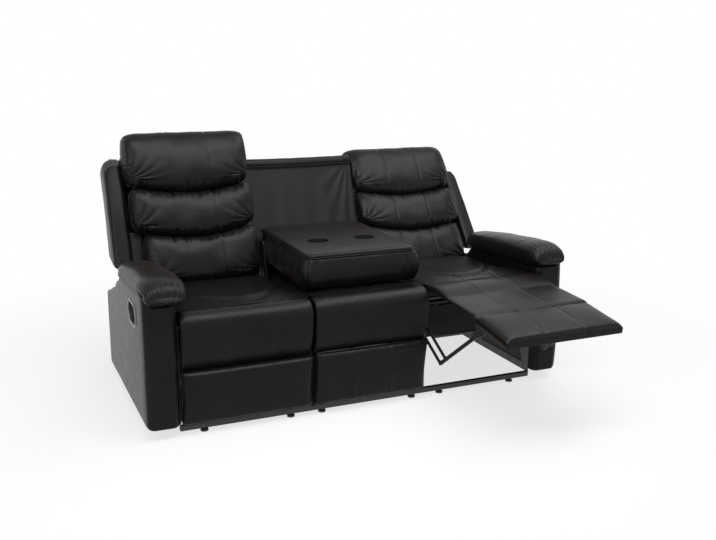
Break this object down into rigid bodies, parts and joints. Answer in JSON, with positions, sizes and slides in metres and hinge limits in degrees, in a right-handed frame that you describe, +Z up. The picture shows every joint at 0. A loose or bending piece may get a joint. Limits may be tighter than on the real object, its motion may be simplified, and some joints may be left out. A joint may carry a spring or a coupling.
{
  "type": "three-seat reclining sofa",
  "caption": "Three-seat reclining sofa with padded arms, winged bolster backs, hinged footrests and a middle back that folds down into a console table.",
  "frame": {"origin": "middle of the footprint, on the floor, with one footrest out and one back reclined", "axes": "+X towards the viewer's right, along the width; -Y the front; +Z up"},
  "size_m": [1.865, 1.6973, 1.0876],
  "materials": {
    "leather": "satin",
    "leather_lining": "matt",
    "steel_black": "satin",
    "timber": "matt",
    "spring_steel": "satin",
    "plastic_black": "satin",
    "holder_plastic": "gloss"
  },
  "bodies": {
    "frame": {"left_arm_body": "leather", "right_arm_body": "leather", "left_arm_pad": "leather", "right_arm_pad": "leather", "left_handle_cup": "plastic_black", "right_handle_cup": "plastic_black", "floor_rails": "steel_black", "floor_glides": "steel_black", "left_side_plates": "steel_black", "right_side_plates": "steel_black", "left_seat_box": "leather_lining", "right_seat_box": "leather_lining", "middle_seat_box": "leather_lining", "seat_springs": "spring_steel", "left_seat_cushion": "leather", "right_seat_cushion": "leather", "middle_seat_cushion": "leather", "middle_upper_panel": "leather", "middle_lower_panel": "leather", "rear_base_panel": "leather", "middle_back_frame": "timber", "middle_back_rail_pad": "leather", "middle_back_drape": "leather_lining", "middle_back_cover": "leather", "console_brackets": "steel_black"},
    "left_pull": {"left_release_pull": "plastic_black"},
    "left_drive": {"left_drive_links": "steel_black"},
    "left_stay": {"left_stay_links": "steel_black"},
    "left_lift": {"left_lift_links": "steel_black"},
    "left_footrest": {"left_footrest_brackets": "steel_black", "left_footrest_board": "timber", "left_footrest_pad": "leather"},
    "left_flap": {"left_flap_pad": "leather", "left_flap_web": "leather"},
    "left_back": {"left_back_brackets": "steel_black", "left_back_frame": "timber", "left_back_shell": "leather", "left_head_pillow": "leather", "left_middle_bolster": "leather", "left_lumbar_bolster": "leather"},
    "right_pull": {"right_release_pull": "plastic_black"},
    "right_drive": {"right_drive_links": "steel_black"},
    "right_stay": {"right_stay_links": "steel_black"},
    "right_lift": {"right_lift_links": "steel_black"},
    "right_footrest": {"right_footrest_brackets": "steel_black", "right_footrest_board": "timber", "right_footrest_pad": "leather"},
    "right_flap": {"right_flap_pad": "leather", "right_flap_web": "leather"},
    "right_back": {"right_back_brackets": "steel_black", "right_back_frame": "timber", "right_back_shell": "leather", "right_head_pillow": "leather", "right_middle_bolster": "leather", "right_lumbar_bolster": "leather"},
    "console": {"console_board": "timber", "console_bushes": "spring_steel", "console_table_pad": "leather", "console_back_cushion": "leather", "cup_holders": "holder_plastic"}
  },
  "joints": [
    {"name": "left_footrest_drive", "type": "hinge", "parent": "frame", "child": "left_drive", "pos_m": [-0.52775, -0.147, 0.358], "axis": [-1, 0, 0], "range_deg": [0, 96.44]},
    {"name": "left_stay_swing", "type": "hinge", "parent": "frame", "child": "left_stay", "pos_m": [-0.52775, -0.10276, 0.32532], "axis": [-1, 0, 0], "range_deg": [0, 96.45]},
    {"name": "left_lift_swing", "type": "hinge", "parent": "left_drive", "child": "left_lift", "pos_m": [-0.52775, 0.0148, 0.11733], "axis": [-1, 0, 0], "range_deg": [-96.45, 0]},
    {"name": "left_footrest_turn", "type": "hinge", "parent": "left_lift", "child": "left_footrest", "pos_m": [-0.52775, -0.19854, 0.27494], "axis": [-1, 0, 0], "range_deg": [0, 90.01]},
    {"name": "left_flap_turn", "type": "hinge", "parent": "frame", "child": "left_flap", "pos_m": [-0.52775, -0.227, 0.435], "axis": [-1, 0, 0], "range_deg": [0, 100.01], "deforming": ["left_flap_web"]},
    {"name": "left_back_recline", "type": "hinge", "parent": "frame", "child": "left_back", "pos_m": [-0.52775, 0.168, 0.352], "axis": [-1, 0, 0], "range_deg": [0, 20]},
    {"name": "left_handle_pull", "type": "hinge", "parent": "frame", "child": "left_pull", "pos_m": [-0.913, -0.1, 0.462], "axis": [0, 0, 1], "range_deg": [0, 30], "stiffness_Nm_per_rad": 0.6},
    {"name": "right_footrest_drive", "type": "hinge", "parent": "frame", "child": "right_drive", "pos_m": [0.52775, -0.147, 0.358], "axis": [-1, 0, 0], "range_deg": [-96.44, 0]},
    {"name": "right_stay_swing", "type": "hinge", "parent": "frame", "child": "right_stay", "pos_m": [0.52775, -0.10276, 0.32532], "axis": [-1, 0, 0], "range_deg": [-96.45, 0]},
    {"name": "right_lift_swing", "type": "hinge", "parent": "right_drive", "child": "right_lift", "pos_m": [0.52775, -0.4043, 0.22423], "axis": [-1, 0, 0], "range_deg": [0, 96.45]},
    {"name": "right_footrest_turn", "type": "hinge", "parent": "right_lift", "child": "right_footrest", "pos_m": [0.52775, -0.61765, 0.38184], "axis": [-1, 0, 0], "range_deg": [-90.01, 0]},
    {"name": "right_flap_turn", "type": "hinge", "parent": "frame", "child": "right_flap", "pos_m": [0.52775, -0.227, 0.435], "axis": [-1, 0, 0], "range_deg": [-100.01, 0], "deforming": ["right_flap_web"]},
    {"name": "right_back_recline", "type": "hinge", "parent": "frame", "child": "right_back", "pos_m": [0.52775, 0.168, 0.352], "axis": [-1, 0, 0], "range_deg": [-15.5, 4.5]},
    {"name": "right_handle_pull", "type": "hinge", "parent": "frame", "child": "right_pull", "pos_m": [0.913, -0.1, 0.462], "axis": [0, 0, -1], "range_deg": [0, 30], "stiffness_Nm_per_rad": 0.6},
    {"name": "console_fold", "type": "hinge", "parent": "frame", "child": "console", "pos_m": [0, 0.401, 0.5775], "axis": [-1, 0, 0], "range_deg": [0, 114]}
  ],
  "couplings": [
    {"joint": "left_stay_swing", "follows": "left_footrest_drive", "ratio": 1},
    {"joint": "left_lift_swing", "follows": "left_footrest_drive", "ratio": -1},
    {"joint": "left_footrest_turn", "follows": "left_footrest_drive", "ratio": 0.93319},
    {"joint": "left_flap_turn", "follows": "left_footrest_drive", "ratio": 1.0369},
    {"joint": "right_stay_swing", "follows": "right_footrest_drive", "ratio": 1},
    {"joint": "right_lift_swing", "follows": "right_footrest_drive", "ratio": -1},
    {"joint": "right_footrest_turn", "follows": "right_footrest_drive", "ratio": 0.93319},
    {"joint": "right_flap_turn", "follows": "right_footrest_drive", "ratio": 1.0369}
  ]
}
